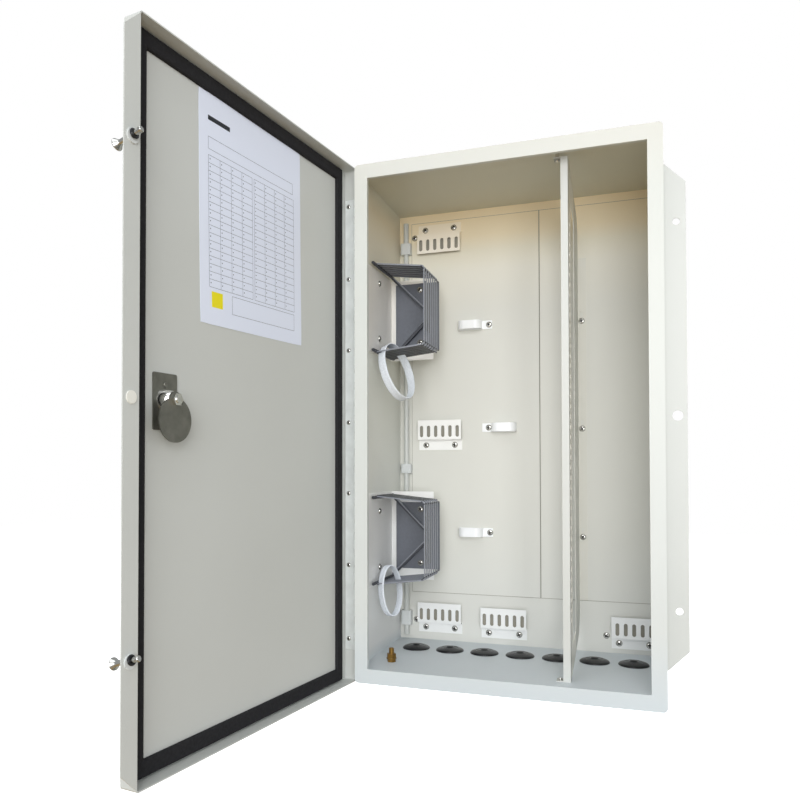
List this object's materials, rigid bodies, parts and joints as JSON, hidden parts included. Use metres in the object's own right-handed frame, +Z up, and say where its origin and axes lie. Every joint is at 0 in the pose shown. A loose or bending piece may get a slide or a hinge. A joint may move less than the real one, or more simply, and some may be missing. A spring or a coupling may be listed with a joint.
{
  "type": "wall-mounted utility cabinet",
  "caption": "Shallow sheet-metal wall cabinet for cables, with a wrap-around hinged door, quarter-turn lock, comb brackets, splice trays and a divider.",
  "frame": {"origin": "centre of the cabinet body's back face, which lies on the wall", "axes": "+Z up, +X to the right seen from the front, +Y from the front into the wall"},
  "size_m": [0.5781, 0.6853, 0.8064],
  "materials": {
    "cabinet_paint": "light grey powder coat, slightly glossy",
    "plate_paint": "light grey powder coat",
    "bracket_paint": "white powder coat",
    "screw_steel": "plain stainless steel",
    "hinge_steel": "zinc-plated steel",
    "dark_steel": "dark plated steel",
    "bolt_chrome": "bright plated steel",
    "brass": "plain brass",
    "foam_rubber": "black closed-cell foam",
    "grommet_rubber": "black rubber",
    "tray_plastic": "dark slate-grey moulded plastic",
    "white_plastic": "white moulded plastic",
    "plug_plastic": "cream moulded plastic",
    "strap_fabric": "white woven hook-and-loop strap",
    "sheet_paper": "white laminated paper"
  },
  "bodies": {
    "cabinet": {"back_screws": "screw_steel", "body_shell": "cabinet_paint", "cable_clip_lower": "white_plastic", "cable_clip_middle": "white_plastic", "cable_clip_upper": "white_plastic", "comb_bracket_bottom_left": "bracket_paint", "comb_bracket_bottom_middle": "bracket_paint", "comb_bracket_bottom_right": "bracket_paint", "comb_bracket_mid_left": "bracket_paint", "comb_bracket_top_left": "bracket_paint", "conduit": "cabinet_paint", "divider": "cabinet_paint", "divider_spacer": "screw_steel", "earth_nut": "brass", "earth_stud": "brass", "front_frame": "cabinet_paint", "grommet_1": "grommet_rubber", "grommet_2": "grommet_rubber", "grommet_3": "grommet_rubber", "grommet_4": "grommet_rubber", "grommet_5": "grommet_rubber", "grommet_6": "grommet_rubber", "grommet_7": "grommet_rubber", "hinge_body_leaf": "hinge_steel", "hinge_pin": "hinge_steel", "lock_flange": "cabinet_paint", "mounting_plate_left": "plate_paint", "mounting_plate_right": "plate_paint", "saddle_lower": "white_plastic", "saddle_middle": "white_plastic", "saddle_upper": "white_plastic", "strap_loop_lower": "strap_fabric", "strap_loop_upper": "strap_fabric", "tab_screws": "screw_steel", "tray_base_lower": "tray_plastic", "tray_base_upper": "tray_plastic", "tray_bracket_lower": "bracket_paint", "tray_bracket_upper": "bracket_paint", "tray_layers_lower": "tray_plastic", "tray_layers_upper": "tray_plastic", "tray_screws": "screw_steel", "wall_screws": "screw_steel"},
    "door": {"door_panel": "cabinet_paint", "door_gasket": "foam_rubber", "chart_sheet": "sheet_paper", "hinge_door_leaf": "hinge_steel", "hinge_screws": "screw_steel", "lock_plate": "dark_steel", "lock_rivet": "screw_steel", "lock_barrel": "bolt_chrome", "bolt_bushes": "white_plastic", "bolt_o_rings": "grommet_rubber", "hole_plug": "plug_plastic"},
    "lock": {"lock_spindle": "screw_steel", "lock_cam": "dark_steel", "lock_nut": "screw_steel"},
    "bolt_top": {"security_bolt_top": "bolt_chrome"},
    "bolt_bottom": {"security_bolt_bottom": "bolt_chrome"}
  },
  "joints": [
    {"name": "door_hinge", "type": "hinge", "parent": "cabinet", "child": "door", "pos_m": [-0.2265, -0.213, -0.0065], "axis": [0, 0, 1], "range_deg": [-20, 98.5]},
    {"name": "lock_turn", "type": "hinge", "parent": "door", "child": "lock", "pos_m": [-0.29324, -0.60545, -0.003], "axis": [0.989, -0.1478, 0], "range_deg": [-90, 0]},
    {"name": "bolt_slide_top", "type": "slide", "parent": "door", "child": "bolt_top", "axis": [0.989, -0.1478, 0], "range_m": [-0.01, 0.018]},
    {"name": "bolt_slide_bottom", "type": "slide", "parent": "door", "child": "bolt_bottom", "axis": [0.989, -0.1478, 0], "range_m": [-0.01, 0.018]}
  ]
}
